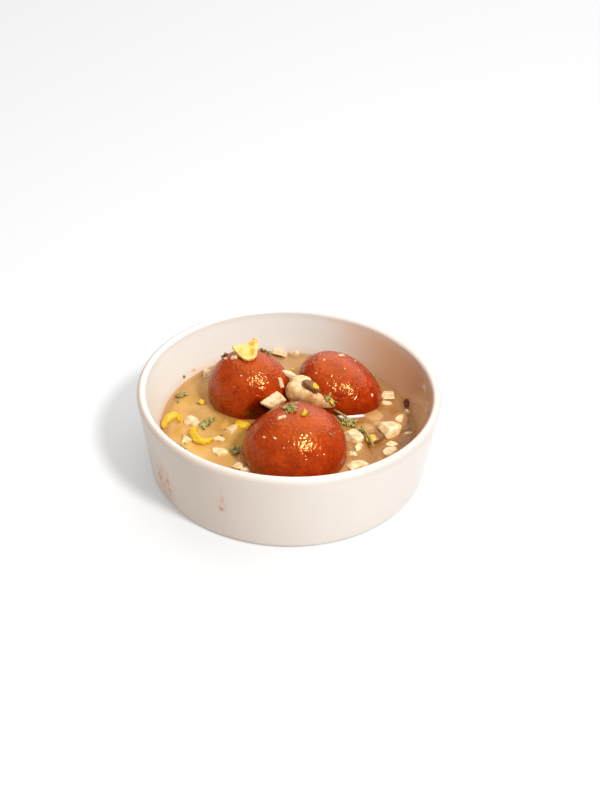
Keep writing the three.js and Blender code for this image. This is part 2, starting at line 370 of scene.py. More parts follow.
# Painted shade on the outer right, which tones down the side light where it falls hardest.
glaze_and_painted_light = china.mix((1 - inside) * across.above(10, 58) * 0.6, glaze_and_painted_light, shade(206, 196, 186))
print("glaze nodes:", len(china.material.node_tree.nodes))

# %% [markdown]
# ## Stains on the china
# Syrup has run down the outside on the left and dried in orange-brown patches, and a thin brown
# line shows there along the unglazed foot. Inside, a film of syrup tints the wall just above its
# level. On the right the inner wall gets warm brown painted shade up to the lip, with a few pale
# streaks of painted highlight in it, and the lip there gets painted shade too: warm on its inner
# half, greyer on its outer half where the side light falls hardest. Each mark is one more mask,
# mixed over the last. The roughness stays near 0.3, since a smoother glaze would show the lights
# as hard-edged patches.

# %% China finish
OUTER_FOOT_RADIUS = 55.9
LIP_WIDTH = 3.6
LIP_HEIGHT = BOWL_HEIGHT - LIP_WIDTH / 2


def on_wall(degrees, height):
    """A place on the bowl's outer wall, by its angle round the bowl and its height."""
    radius = OUTER_FOOT_RADIUS + (RIM_RADIUS - OUTER_FOOT_RADIUS) * height / BOWL_HEIGHT
    angle = math.radians(degrees)
    return (radius * math.cos(angle), radius * math.sin(angle), height)


film = inside * height.below(SYRUP_LEVEL, SYRUP_LEVEL + 5) * 0.5
lip_edge = height.below(LIP_HEIGHT - 0.8, LIP_HEIGHT + 0.9)
# Painted shade: warm brown on the inner wall on the right, up to the lip.
painted_shade_inner_right = inside * across.above(8, 44) * lip_edge * 0.78
glaze_and_painted_light = china.mix(film, glaze_and_painted_light, shade(226, 190, 150))
glaze_and_painted_light = china.mix(painted_shade_inner_right, glaze_and_painted_light, shade(222, 168, 110))
# Painted shade on the lip on the right: warm on its inner half, greyer on its outer half.
painted_lip_shade = china.mix((away - middle).above(-0.9, 0.9), shade(238, 218, 202), shade(204, 196, 187))
lip_shade_mask = across.above(0, 50) * height.above(LIP_HEIGHT - 3, LIP_HEIGHT + 0.6)
glaze_and_painted_light = china.mix(lip_shade_mask * 0.85, glaze_and_painted_light, painted_lip_shade)
streaks = china.noise(1.6, 2, (1, 1, 1.5)).above(0.5, 0.62)
dried = china.near(on_wall(-144, 11.5), (8, 9, 14))
faint = china.near(on_wall(-113, 20), (4, 4, 10))
faint = faint * china.noise(1.2, 3, (1, 1, 3)).above(0.42, 0.62)
drop = china.near(on_wall(-113.5, 15.5), (1.5, 1.5, 1.8))
glaze_and_painted_light = china.mix(dried * 0.7, glaze_and_painted_light, shade(222, 180, 146))
dried = dried.above(0, 0.6) * streaks
glaze_and_painted_light = china.mix(dried * 0.62, glaze_and_painted_light, shade(206, 134, 78))
glaze_and_painted_light = china.mix(faint * 0.45 + drop * 0.8, glaze_and_painted_light, shade(204, 138, 84))
foot_line = (1 - inside) * height.below(0.3, 1.5) * across.below(-20, 10)
glaze_and_painted_light = china.mix(foot_line * 0.85, glaze_and_painted_light, shade(184, 118, 74))
specks = china.noise(0.9, 1).above(0.76, 0.8) * 0.3
glaze_and_painted_light = china.mix(specks, glaze_and_painted_light, shade(190, 175, 160))
# Painted highlight: pale streaks of glint on the wet inner wall on the right.
painted_wet_glints = china.near((54, 9.6, 30), (3, 4, 3.4)) + china.near((54.4, -1.6, 28.4), (3, 5, 2.6))
painted_wet_glints = inside * painted_wet_glints * china.noise(1.6, 2, (1, 2.4, 1)).above(0.4, 0.52)
glaze_and_painted_light = china.mix(painted_wet_glints, glaze_and_painted_light, shade(250, 236, 222))
soaked = inside * height.below(SYRUP_LEVEL - 0.5, SYRUP_LEVEL + 0.3)
glaze_and_painted_light = china.mix(soaked * 0.85, glaze_and_painted_light, shade(236, 188, 116))
china_finish = china.done(china.surface(
    Base_Color=glaze_and_painted_light,
    Roughness=china.noise(20, 2) * 0.06 + 0.3 + dried * 0.3,
    Coat_Weight=0.3, Coat_Roughness=0.1))
print("china nodes:", len(china.material.node_tree.nodes))

# %% [markdown]
# ## The bowl's outline
# A bowl thrown or pressed on a wheel is the same all the way round, so half of its outline says
# it all. The outline runs from the middle of the underside, round the foot, up the outer wall,
# over the lip and down the hollow. Round stretches are arcs, and straight ones even steps. The
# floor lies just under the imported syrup, which is kept clear of it.

# %% Outline
CLEARANCE = 0.3
FOOT_CORNER = 2.5
FLOOR_THICKNESS = SYRUP_LOW.z - CLEARANCE
FLOOR_CORNER = 14
WALL_SLOPE = 0.3


def arc(centre, radius, start, end, steps):
    """Points round part of a circle, each as a radius and a height."""
    angles = np.radians(np.linspace(start, end, steps))
    return [(centre[0] + radius * math.cos(a), centre[1] + radius * math.sin(a)) for a in angles]


def hollow_radius(z):
    """How far the straight part of the inner wall is from the axis, at a height."""
    return RIM_RADIUS - LIP_WIDTH - WALL_SLOPE * (LIP_HEIGHT - z)


corner_height = FLOOR_THICKNESS + FLOOR_CORNER
corner_at = hollow_radius(corner_height) - FLOOR_CORNER * math.hypot(1, WALL_SLOPE)
hollow_tilt = math.degrees(math.atan(WALL_SLOPE))
foot = arc((OUTER_FOOT_RADIUS - FOOT_CORNER, FOOT_CORNER), FOOT_CORNER, -90, -6, 10)
lip = arc((RIM_RADIUS - LIP_WIDTH / 2, LIP_HEIGHT), LIP_WIDTH / 2, 0, 180, 18)
corner = arc((corner_at, corner_height), FLOOR_CORNER, -hollow_tilt, -90, 14)


def between(first, last, count):
    """count even steps on the straight line between two points, without its ends."""
    return [tuple(p) for p in np.linspace(first, last, count + 2)[1:-1]]


outline = [(18 * i, 0) for i in range(3)] + foot + between(foot[-1], lip[0], 14) + lip
outline += between(lip[-1], corner[0], 9) + corner + between(corner[-1], (0, corner[-1][1]), 4)
outline += [(0, corner[-1][1])]
print("outline:", len(outline), "points, over a floor", round(FLOOR_THICKNESS, 1), "mm thick")

# %% [markdown]
# ## The bowl
# The outline is turned about the upright axis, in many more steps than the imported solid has. The
# wall wavers by a tenth of a millimetre, as hand-finished china does, while the foot and the top
# of the lip stay true. Rings of points and the faces between them have functions of their own,
# because the syrup is turned in the same way later.

# %% Bowl
BOWL_STEPS = 288
WAVER = 0.12
WAVER_SIZE = 30
WAVER_FROM, WAVER_TO = 2, 35
NOISE_SHIFT = Vector((300, 0, 0))


def ring(radius, z, steps):
    """Points set evenly round the axis."""
    angles = [2 * math.pi * i / steps for i in range(steps)]
    return [Vector((radius * math.cos(a), radius * math.sin(a), z)) for a in angles]


def shell_faces(rings, steps):
    """Faces of a closed shell: a first point, rings of points, then a last point.

    They face outward when the rings climb the outside of a shape.
    """
    faces = []
    for i in range(steps):
        beside = (i + 1) % steps
        for start in range(1, 1 + (rings - 1) * steps, steps):
            faces.append((start + i, start + beside, start + steps + beside, start + steps + i))
        last = 1 + (rings - 1) * steps
        faces.append((0, 1 + beside, 1 + i))
        faces.append((last + steps, last + i, last + beside))
    return faces


points = [(0, 0, 0)]
for radius, z in outline[1:-1]:
    freedom = min(1, radius / WAVER_SIZE) * (WAVER_FROM < z < WAVER_TO)
    for point in ring(radius, z, BOWL_STEPS):
        waver = WAVER * freedom * ripple(point + NOISE_SHIFT, WAVER_SIZE)
        points.append(point + Vector((point.x, point.y, 0)).normalized() * waver)
points.append((0, 0, outline[-1][1]))
faces = shell_faces(len(outline) - 2, BOWL_STEPS)
bowl_points = fitted(points, BOWL_LOW, BOWL_HIGH)
piece_of("china_bowl", bowl_points, faces, china_finish, ["bowl"])

# %% [markdown]
# ## Dumpling skin
# Frying turns the milk dough red-brown, and syrup soaks in and leaves the skin glossy. The
# colour is mottled all over, and painted light is laid over it: a painted sheen lightens the tops,
# painted shade darkens them low down, near the syrup, and makes them nearly black where the three
# meet. The skin is finely wrinkled, so the highlight breaks into small bright squiggles. The
# broad dimples and creases are in the mesh, and the wrinkles a millimetre or two wide are a bump.
# The gloss varies too, which sets soft glints among the sharp ones, and a film of brown syrup
# tints them all orange.

# %% Dumpling finish
skin = Finish("fried_skin")
height = skin.axis("Z")
mottle = skin.noise(5, 3)
fleck = skin.noise(0.9, 2)
fried_and_painted_light = skin.mix(mottle.above(0.3, 0.75), shade(138, 24, 0), shade(172, 50, 0))
fried_and_painted_light = skin.mix(fleck.above(0.5, 0.75) * 0.35, fried_and_painted_light, shade(194, 76, 4))
# Painted sheen: the tops are lighter.
fried_and_painted_light = skin.mix(height.above(24, 38) * 0.3, fried_and_painted_light, shade(200, 84, 30))
# Painted shade: darker low down, near the syrup.
fried_and_painted_light = skin.mix(height.below(SYRUP_LEVEL + 1, SYRUP_LEVEL + 9) * 0.5, fried_and_painted_light, shade(100, 8, 0))
# Painted shade: nearly black where the three meet.
painted_meeting_shade = skin.near((-9.5, -1, 22), (11, 8, 9))
fried_and_painted_light = skin.mix(painted_meeting_shade.above(0.02, 0.4) * 0.97, fried_and_painted_light, shade(72, 12, 0))
wrinkles = skin.noise(1.5, 1)
skin_finish = skin.done(skin.surface(
    Base_Color=fried_and_painted_light,
    Roughness=skin.noise(1.1, 1).above(0.45, 0.75) * 0.16 + 0.17,
    Normal=skin.bump(wrinkles, 0.4),
    Specular_IOR_Level=0.85, Specular_Tint=(1, 0.58, 0.2, 1)))
print("skin nodes:", len(skin.material.node_tree.nodes))

# %% [markdown]
# ## Dumplings
# Rolled between the palms, no two are alike: each is a ball with a few soft swells and hollows,
# and the right one leans in toward the middle. A sphere of even triangles (an icosphere) is
# pushed in and out along its own directions, once for the swells and once for the wrinkles, then
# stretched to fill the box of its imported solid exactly.

# %% Dumplings
# For each swell: which way it faces, its rise as a share of the radius (a hollow if it is less
# than 0), and how wide it spreads.
SWELLS = {
    "gulab_jamun_front": [
        ((-0.6, 0.46, 0.65), -0.1, 0.12), ((0.8, 0.1, -0.1), 0.03, 0.3), ((0.3, 0.6, 0.7), -0.02, 0.2)],
    "gulab_jamun_left": [
        ((-0.6, -0.2, 0.6), 0.025, 0.2), ((0.8, -0.4, 0.1), 0.03, 0.3), ((0.5, 0.3, 0.8), -0.02, 0.2)],
    "gulab_jamun_right": [
        ((-0.5, -0.3, 0.8), 0.03, 0.25), ((0.78, -0.6, 0.2), 0.12, 0.16), ((0.7, 0, 0.7), -0.025, 0.2)],
}
# How far a dumpling leans right and back for each mm of height.
LEANS = {"gulab_jamun_right": (-0.36, 0.1)}


def wrinkle(point):
    """Height in mm of the skin at a place: shallow dimples, and creases that run together."""
    dimple = 0.12 * ripple(point, 4.5)
    crease = abs(ripple(point, 1.6, 3))
    return dimple - 0.14 * (1 - min(1, crease * 3)) * (0.6 + 0.6 * ripple(point, 7))


def dumpling(node):
    low, high = node_box(node)
    size = (high - low) / 2
    ball = bmesh.new()
    bmesh.ops.create_icosphere(ball, subdivisions=7, radius=1)
    seed = Vector((DUMPLINGS.index(node) * 57, 11, 3))
    lean = LEANS.get(node, (0, 0))
    points = []
    for vertex in ball.verts:
        way = vertex.co.normalized()
        scale = 1 + sum(
            rise * math.exp((way.dot(Vector(toward).normalized()) - 1) / spread)
            for toward, rise, spread in SWELLS[node])
        tall = way.z * size.z * scale
        point = Vector((way.x * size.x * scale, way.y * size.y * scale, tall))
        point += way * wrinkle(point + seed)
        point.x += lean[0] * tall
        point.y += lean[1] * tall
        points.append(point)
    faces = [[v.index for v in face.verts] for face in ball.faces]
    ball.free()
    return fitted(points, low, high), faces


for node in DUMPLINGS:
    points, faces = dumpling(node)
    piece_of(node + "_skin", points, faces, skin_finish, [node])

# %% [markdown]
# ## Nut, pistachio and herb finishes
# Cashew and almond are cream with tan patches, and the cashew half gets painted shade below its
# top. Pistachio is a clear yellow, and a whole kernel keeps its brown skin, except where it has
# split and shows yellow. The herb is dried mint, dull olive with brown in it. They differ only in
# two colours, in patches and grain, and in how wet they are, so one function makes them all.

# %% Nut finishes
def nut_like(name, pale, deep, patch, grain, wet, share=0.42, shaded_below=None, shown=()):
    """Patches of deep over pale, of which a lower share makes more; pale again where shown.

    Below the height shaded_below it is deeper, as painted shade.
    """
    nut = Finish(name)
    patches = nut.noise(patch, 3).above(share, share + 0.25)
    flecks = nut.noise(grain, 2)
    if shaded_below:
        # Painted shade: deeper below the given height.
        patches = patches * 0.5 + nut.axis("Z").below(shaded_below - 3, shaded_below) * 0.5
    for place, reach in shown:
        patches = patches - nut.near(place, (reach, reach, reach)).above(0.1, 0.5)
    colour = nut.mix(patches.above(0, 1), pale, deep)
    colour = nut.mix(flecks.above(0.55, 0.75) * 0.4, colour, tuple(c * 0.7 for c in deep))
    return nut.done(nut.surface(
        Base_Color=colour,
        Roughness=flecks * 0.3 + 0.32,
        Normal=nut.bump(flecks, 0.09),
        Coat_Weight=wet, Coat_Roughness=0.15))


cashew_top = node_box("cashew")[1].z
kernel_low, kernel_high = node_box("kernel_right")
seed_low, seed_high = node_box("kernel_on_cashew")
split_faces = [
    ((kernel_low.x + 1.6, kernel_low.y + 1.4, kernel_high.z), 4),
    ((seed_high.x - 1.6, seed_low.y + 1.6, seed_high.z - 1), 2.4),
]
nut_finish = nut_like(
    "broken_nut", shade(236, 208, 162), shade(216, 172, 114), patch=2.2, grain=0.5, wet=0.2)
# The cashew gets painted shade below its top.
cashew_finish = nut_like(
    "cashew", shade(236, 202, 148), shade(196, 140, 78), patch=3.2, grain=0.6, wet=0.2,
    shaded_below=cashew_top - 1)
pistachio_finish = nut_like(
    "pistachio", shade(218, 174, 20), shade(176, 130, 8), patch=1.6, grain=0.35, wet=0.15,
    share=0.56)
flake_finish = nut_like(
    "pistachio_flake", shade(240, 202, 112), shade(226, 166, 28), patch=2.4, grain=0.4, wet=0.1,
    share=0.46)
kernel_finish = nut_like(
    "kernel_skin", shade(224, 180, 16), shade(132, 80, 32), patch=1.2, grain=0.4, wet=0.15,
    share=-0.3, shown=split_faces)
husk_finish = nut_like(
    "nut_husk", shade(136, 60, 34), shade(84, 28, 14), patch=0.7, grain=0.3, wet=0.2)
herb_finish = nut_like(
    "dried_herb", shade(176, 164, 92), shade(92, 82, 34), patch=0.8, grain=0.3, wet=0.0)
print("finishes so far:", [m.name for m in bpy.data.materials])

# %% [markdown]
# ## Broken nuts
# A chopped nut has flat broken faces with edges that have begun to crumble. Each large piece
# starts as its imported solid. A few seeded planes slice it, as a knife does, a voxel remesh turns
# it into small even faces, smoothing takes the sharpness off, and noise adds the grain. Pieces
# that grew round, like the kernels, are first rounded by subdivision and not sliced.

# %% Carving helper
# A slice is taken between these shares of the way from the middle to the outside.
CUT_BETWEEN = (0.72, 0.9)


def carved(bm, cuts=0, rounding=0, voxel=0.22, ease=2, grain=0.05, swell=0.0, seed=1):
    """Points and faces of a body: sliced, rounded, remeshed, eased, then grained and swollen."""
    rng = random.Random(seed)
    centre = sum((v.co for v in bm.verts), Vector()) / len(bm.verts)
    for _ in range(cuts):
        way = Vector([rng.uniform(-1, 1) for _ in range(3)]).normalized()
        reach = max((v.co - centre).dot(way) for v in bm.verts)
        bmesh.ops.bisect_plane(
            bm, geom=bm.verts[:] + bm.edges[:] + bm.faces[:],
            plane_co=centre + way * reach * rng.uniform(*CUT_BETWEEN), plane_no=way, clear_outer=True)
        bmesh.ops.holes_fill(bm, edges=[e for e in bm.edges if e.is_boundary])
    mesh = bpy.data.meshes.new("rough")
    bm.to_mesh(mesh)
    bm.free()
    rough = bpy.data.objects.new("rough", mesh)
    bpy.context.scene.collection.objects.link(rough)
    if rounding:
        rough.modifiers.new("round", "SUBSURF").levels = rounding
    remesh = rough.modifiers.new("remesh", "REMESH")
    remesh.mode, remesh.voxel_size = "VOXEL", voxel
    smooth = rough.modifiers.new("ease", "SMOOTH")
    smooth.factor, smooth.iterations = 0.5, ease
    done = bpy.data.meshes.new_from_object(rough.evaluated_get(bpy.context.evaluated_depsgraph_get()))
    bpy.data.objects.remove(rough)
    offset = Vector((seed * 7.3, seed * 3.1, 0))
    points = []
    for vertex in done.vertices:
        place = vertex.co + offset
        rise = swell + grain * (ripple(place, 0.7, 3) + 0.8 * ripple(place, 2.2))
        points.append(vertex.co + vertex.normal * rise)
    return np.array(points), [tuple(p.vertices) for p in done.polygons]


def from_node(node):
    """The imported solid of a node, as a body in mm."""
    bm = bmesh.new()
    bm.from_mesh(frame["nodes"][node].data)
    bmesh.ops.remove_doubles(bm, verts=bm.verts, dist=1e-7)
    bm.transform(Matrix.Scale(1 / MM, 4))
    return bm


def rebuilt(name, node, finish, slot, **shape):
    """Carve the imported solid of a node, and let the result stand for it in the same box."""
    points, faces = carved(from_node(node), **shape)
    return piece_of(name, fitted(points, *node_box(node)), faces, finish, [node])


print("the cashew starts with", len(frame["nodes"]["cashew"].data.vertices), "points")

# %% [markdown]
# ## Large toppings
# Every chopped nut is sliced with a seed of its own, so no two come out alike. The cashew half
# and the almond are eased for longer, which rounds them. The flake and the two curved shavings
# are thin, so they need smaller voxels. Easing thins a piece, so the cashew, the almond and the
# shavings are swollen again after it. The kernels are only rounded.

# %% Large toppings
for seed, node in enumerate(sorted(frame["nodes"])):
    if node.startswith("nut_"):
        rebuilt("broken_" + node, node, nut_finish, "nut", cuts=7, seed=seed)
rebuilt(
    "sliced_almond", "almond_chip", nut_finish, "nut",
    cuts=3, ease=26, grain=0.12, swell=0.3, seed=5)
rebuilt(
    "cashew_half", "cashew", cashew_finish, "nut",
    voxel=0.28, ease=34, grain=0.1, swell=0.4, seed=6)
rebuilt("yellow_chip", "pistachio_chip", pistachio_finish, "pistachio", cuts=7, grain=0.12, seed=7)
rebuilt("yellow_flake", "pistachio_flake", flake_finish, "pistachio", voxel=0.18, grain=0.14, seed=8)
for node in ("pistachio_arch", "pistachio_curl"):
    rebuilt(
        "yellow_" + node, node, pistachio_finish, "pistachio",
        cuts=6, voxel=0.18, ease=1, grain=0.2, swell=0.3, seed=8)
for node in ("kernel_on_cashew", "kernel_right"):
    rebuilt("skinned_" + node, node, kernel_finish, "kernel", rounding=1, grain=0.18, seed=9)

# %% [markdown]
# ## Things that are scattered
# Crumbs, slivers and herb are too many and too small to model one by one, but where the larger
# ones lie matters to the look. So each kind is one heap: a list says where each piece is seen
# from above, in mm right of the bowl's middle and behind it, and how large it is. The piece is
# dropped there, and rests on whatever it meets first: a dumpling, a large topping or the syrup.

# %% Dropping pieces
DROP_HEIGHT = 80


def tree_of(names):
    """A search tree over the faces of some pieces, in mm. It answers what a ray or a point meets."""
    points, faces = [], []
    for name in names:
        start = len(points)
        data = bpy.data.objects[name].data
        points += [v.co / MM for v in data.vertices]
        faces += [[start + i for i in p.vertices] for p in data.polygons]
    return BVHTree.FromPolygons(points, faces)


dumpling_skins = [node + "_skin" for node in DUMPLINGS]
bed = tree_of(dumpling_skins + ["cashew_half", "sliced_almond", "yellow_flake"])


def landing(x, y):
    """Where something dropped at x, y stops, and the way up from there."""
    place, up, _, _ = bed.ray_cast(Vector((x, y, DROP_HEIGHT)), Vector((0, 0, -1)))
    if place is None or place.z < SYRUP_LEVEL:
        return Vector((x, y, SYRUP_LEVEL)), Vector((0, 0, 1))
    return place, up


class Heap:
    """Many small bodies of one kind, gathered into one mesh."""

    def __init__(self, name):
        self.name, self.points, self.faces = name, [], []

    def add(self, body, place, up=(0, 0, 1), turn=0, tip=0):
        """Stand a body on a place, turned about its up and tipped about its own length."""
        points, faces = body
        stand = Vector(up).to_track_quat("Z", "Y").to_matrix()
        spin = Euler((math.radians(tip), 0, math.radians(turn))).to_matrix()
        start = len(self.points)
        self.points += [Vector(place) + stand @ (spin @ Vector(p)) for p in points]
        self.faces += [[start + i for i in face] for face in faces]

    def piece(self, finish, slot):
        return piece_of(self.name, self.points, self.faces, finish)


print("a crumb dropped on the front dumpling lands", round(landing(0, -25)[0].z, 1), "mm up")

# %% [markdown]
# ## Small bits of nut
# A knife leaves two sorts of piece: blocky bits, and flat slivers off the side of a nut. A block is
# the skin over a few random points; a sliver is the skin over its outline, drawn twice, one
# above the other. Both are then crumbled like the large ones.

# %% Small nuts
def hull(points):
    """The tight skin over some points."""
    bm = bmesh.new()
    for point in points:
        bm.verts.new(point)
    bmesh.ops.convex_hull(bm, input=bm.verts)
    bmesh.ops.delete(bm, geom=[v for v in bm.verts if not v.link_faces], context="VERTS")
    return bm


def crumb(length, width, height, seed, corners=11):
    """A broken block of nut."""
    rng = random.Random(seed)
    ways = [Vector([rng.gauss(0, 1) for _ in range(3)]).normalized() for _ in range(corners)]
    size = (length + width + height) / 3
    body = hull([(w.x * length / 2, w.y * width / 2, w.z * height / 2) for w in ways])
    points, faces = carved(body, voxel=size / 15, ease=1, grain=size * 0.012, seed=seed)
    half = np.array((length, width, height)) / 2
    return fitted(points, -half, half), faces


def sliver(outline, height, seed):
    """A flat piece of nut, a little smaller on top than below."""
    top = [(x * 0.8, y * 0.8, height / 2) for x, y in outline]
    body = hull(top + [(x, y, -height / 2) for x, y in outline])
    return carved(body, voxel=0.2, ease=5, grain=0.05, seed=seed)


print("a crumb has about", len(crumb(3, 2, 2, seed=1)[1]), "faces")

# %% [markdown]
# ## Chopped nuts in the syrup
# Most of the small nuts float with their tops just out of the syrup, and a few have sunk, so that
# they are only seen dimly through it. The floating ones lie along the wall and in the gaps that
# the dumplings leave.

# %% Chopped nuts
# Right of the middle, behind it, length, width, height, turn, and how high its middle floats.
AFLOAT = [
    (27.9, -14.2, 6.4, 4.2, 3.2, 55, -0.5), (25.4, -18.9, 5.4, 3.6, 3.0, -25, -0.4),
    (48.0, -3.8, 5.4, 4.2, 2.8, 30, -0.7), (41.6, -11.7, 5.8, 3.4, 2.4, 5, -0.3),
    (48.8, 11.6, 3.2, 2.4, 2.0, -30, -0.3), (-27.0, -12.6, 5.4, 4.0, 2.4, -10, 0.0),
    (-35.8, 32.4, 5.0, 4.6, 4.2, 40, 0.6), (1.2, 51.0, 4.2, 3.0, 3.0, 0, 0.2),
    (-18.4, -29.8, 4.6, 3.6, 2.4, 0, 0.6), (-14.6, -31.4, 6.0, 3.8, 2.4, 0, 0.6),
    (-15.6, -9.6, 4.0, 1.6, 1.6, 20, 0.5), (-30.4, 9.0, 1.6, 1.2, 1.0, 0, 0.0),
]
# The same for pieces that have sunk, with their middles this far under the surface.
SUNK = [
    (34.6, 7.4, 10, 7.0, 4, 25, 2.6), (38.2, 1.6, 8, 6.0, 4, 60, 2.6),
    (31.0, -0.4, 9, 4.6, 3, 5, 2.0), (-25.4, -0.9, 5, 3.2, 2, 70, 1.4),
    (45.4, 10.0, 6, 4.6, 4, 10, 2.6), (37.0, -18.5, 7, 5.0, 4, 50, 3.6),
]
# Slivers: outline, thickness, right, behind, how high, turn, tip.
SLIVERS = [
    ([(-3.4, -2.2), (3.0, -2.0), (1.5, 2.2), (-0.9, 2.2)], 1.5, -27.0, -21.0, 0.4, 0, 0),
    ([(-3.4, 0.2), (1.5, 3.0), (1.4, -3.4)], 1.5, -40.0, -14.4, 0.4, 0, 0),
    ([(-3.0, -4.4), (3.4, 0.8), (0.2, 3.1), (-1.8, 0.4)], 1.8, -22.2, -6.4, 0.8, 0, 0),
    ([(-3.0, -2.4), (2.2, -2.6), (3.6, 2.4), (-2.4, 2.6)], 2.6, 41.1, 21.2, 1.0, 6, 20),
    ([(-3.4, -0.4), (0, -1.4), (3.2, -0.8), (2.6, 1.2), (-1.0, 1.4)], 1.4, 39.7, 15.8, 0.7, -6, 15),
    ([(-3.4, -1.6), (2.6, -2.0), (3.4, 1.6), (-1.8, 2.2)], 2.2, -5.3, 49.6, 1.2, -20, 40),
]
floating = Heap("chopped_nuts")
for seed, (x, y, length, width, tall, turn, rise) in enumerate(AFLOAT):
    floating.add(crumb(length, width, tall, 40 + seed), (x, y, SYRUP_LEVEL + rise), turn=turn)
for seed, (shape, thick, x, y, rise, turn, tip) in enumerate(SLIVERS):
    floating.add(sliver(shape, thick, 60 + seed), (x, y, SYRUP_LEVEL + rise), turn=turn, tip=tip)
floating.piece(nut_finish, "nut")
sunken = Heap("sunken_nuts")
for seed, (x, y, length, width, tall, turn, depth) in enumerate(SUNK):
    sunken.add(crumb(length, width, tall, 70 + seed), (x, y, SYRUP_LEVEL - depth), turn=turn)
sunken.piece(nut_finish, "nut")

# %% [markdown]
# ## Crumbs on the dumplings
# The smallest bits stick wherever they fall. Each is dropped straight down and pressed a little
# into what it meets, so none of them floats in the air. Three slivers lie among them, a long bit
# leans behind the cashew, and one crumb clings to the wall at the back, on the left.

# %% Crumbs on the dumplings
# Right, behind, length, width, height, turn.
RESTING = [
    (-8.5, -31.7, 1.5, 0.8, 0.5, 10), (-4.4, -33.6, 1.7, 0.8, 0.5, -10),
    (20.8, 26.2, 3.0, 2.6, 1.4, 60), (13.5, 20.9, 1.3, 1.0, 0.6, 0), (26.5, 26.3, 1.2, 0.7, 0.5, -20),
    (22.0, 17.5, 1.1, 0.7, 0.4, 30), (33.7, 11.6, 1.6, 1.4, 0.7, 60), (-26.4, 15.6, 2.0, 1.4, 1.2, 60),
    (-19.5, 5.5, 0.8, 0.6, 0.4, 0),
    (-10.0, 6.8, 0.7, 0.5, 0.3, 0), (7.0, -33.0, 0.7, 0.5, 0.3, 0), (-1.0, -37.0, 0.7, 0.5, 0.4, 0),
    (14.0, -36.0, 0.8, 0.5, 0.3, 0), (-11.0, -26.5, 0.8, 0.5, 0.3, 0), (10.5, 14.8, 0.8, 0.5, 0.3, 0),
    (16.0, 9.8, 0.7, 0.5, 0.3, 0), (28.0, 20.0, 0.7, 0.5, 0.3, 0),
    (-14.6, 24.6, 0.8, 0.6, 0.4, 0), (24.0, 9.0, 0.6, 0.5, 0.3, 0), (12.0, 26.0, 0.7, 0.5, 0.3, 0),
]
# How high the middle of each sort stands, as a share of its thickness. At 0.5 it would only touch.
CRUMB_STAND, SLIVER_STAND = 0.17, 0.35
crumbs = Heap("nut_crumbs")
for seed, (x, y, length, width, tall, turn) in enumerate(RESTING):
    place, up = landing(x, y)
    crumbs.add(crumb(length, width, tall, 90 + seed, 14), place + up * tall * CRUMB_STAND, up, turn)
for shape, thick, x, y, turn in (
        ([(-1.9, -0.7), (1.5, -1.1), (1.9, 0.3), (-1.6, 0.5)], 0.8, -2.3, -25.6, 78),
        ([(-1.7, -1.0), (1.4, -1.2), (1.8, 0.8), (-0.8, 1.2)], 1.2, -22.8, 14.2, 75),
        ([(-2.5, -1.0), (2.1, -1.2), (2.5, 0.9), (-2.1, 1.1)], 0.9, -3.8, 8.6, 72)):
    place, up = landing(x, y)
    crumbs.add(sliver(shape, thick, 120), place + up * thick * SLIVER_STAND, up, turn)
behind_cashew = (-1.0, 15.0, 31.0)
crumbs.add(crumb(7.2, 2.6, 2.0, 130), behind_cashew, (0.2, -0.5, 0.8), -38)
wall_place, wall_up = (-41.9, 31.5, 20.1), (41.7, -31.3, 15)
crumbs.add(crumb(2.8, 2.4, 1.2, 131), wall_place, wall_up)
crumbs.piece(nut_finish, "nut")

# %% [markdown]
# ## Pistachio crumbs
# A few yellow bits of pistachio lie on the dumplings, in the same way. The smallest of them sits
# behind the cashew.

# %% Pistachio crumbs
YELLOW_STAND = 0.3
yellow = Heap("pistachio_crumbs")
for seed, (x, y, length, width, tall) in enumerate([
        (5.7, -23.6, 3.4, 3.2, 2.4), (-36.0, 11.2, 2.8, 2.6, 2.2), (16.8, 4.6, 4.2, 2.6, 1.2)]):
    place, up = landing(x, y)
    yellow.add(crumb(length, width, tall, 140 + seed, 16), place + up * tall * YELLOW_STAND, up)
yellow.add(crumb(1.6, 1.2, 1.0, 150), (0.6, 17.5, 31.4))
yellow.piece(pistachio_finish, "pistachio")

# %% [markdown]
# ## Scraps of leaf and bits of stalk
# Rubbed mint is scraps of leaf that curled as they dried, and bits of stalk. A scrap is a small
# grid of points: its edge is ragged, its sides curl, and a second layer just below makes it a
# closed shell. A stalk is a thin tube.

# %% Leaf and stalk
LEAF_THICKNESS = 0.14


def scrap(rng, length, width):
    """A curled scrap of dry leaf."""
    steps, sides = 8, 5
    curl = rng.uniform(-0.5, 0.6)
    top = []
    for i in range(steps):
        share = i / (steps - 1)
        half = width / 2 * math.sin(math.pi * (0.08 + 0.84 * share)) ** 0.6 * rng.uniform(0.7, 1.1)
        for j in range(sides):
            side = 2 * j / (sides - 1) - 1
            lift = curl * side * side + 0.5 * curl * (2 * share - 1) ** 2 + rng.uniform(-0.1, 0.1)
            top.append(((share - 0.5) * length, side * half, lift * width / 2))
    low_side = [(x, y, z - LEAF_THICKNESS) for x, y, z in top]
    count = len(top)
    faces = []
    for i in range(steps - 1):
        for j in range(sides - 1):
            a = i * sides + j
            quad = (a, a + sides, a + sides + 1, a + 1)
            faces += [quad, tuple(count + v for v in reversed(quad))]
    rim = [i * sides for i in range(steps)] + [(steps - 1) * sides + j for j in range(1, sides)]
    rim += [i * sides + sides - 1 for i in range(steps - 2, -1, -1)] + list(range(sides - 2, 0, -1))
    for a, b in zip(rim, rim[1:] + rim[:1]):
        faces.append((b, a, count + a, count + b))
    return top + low_side, faces


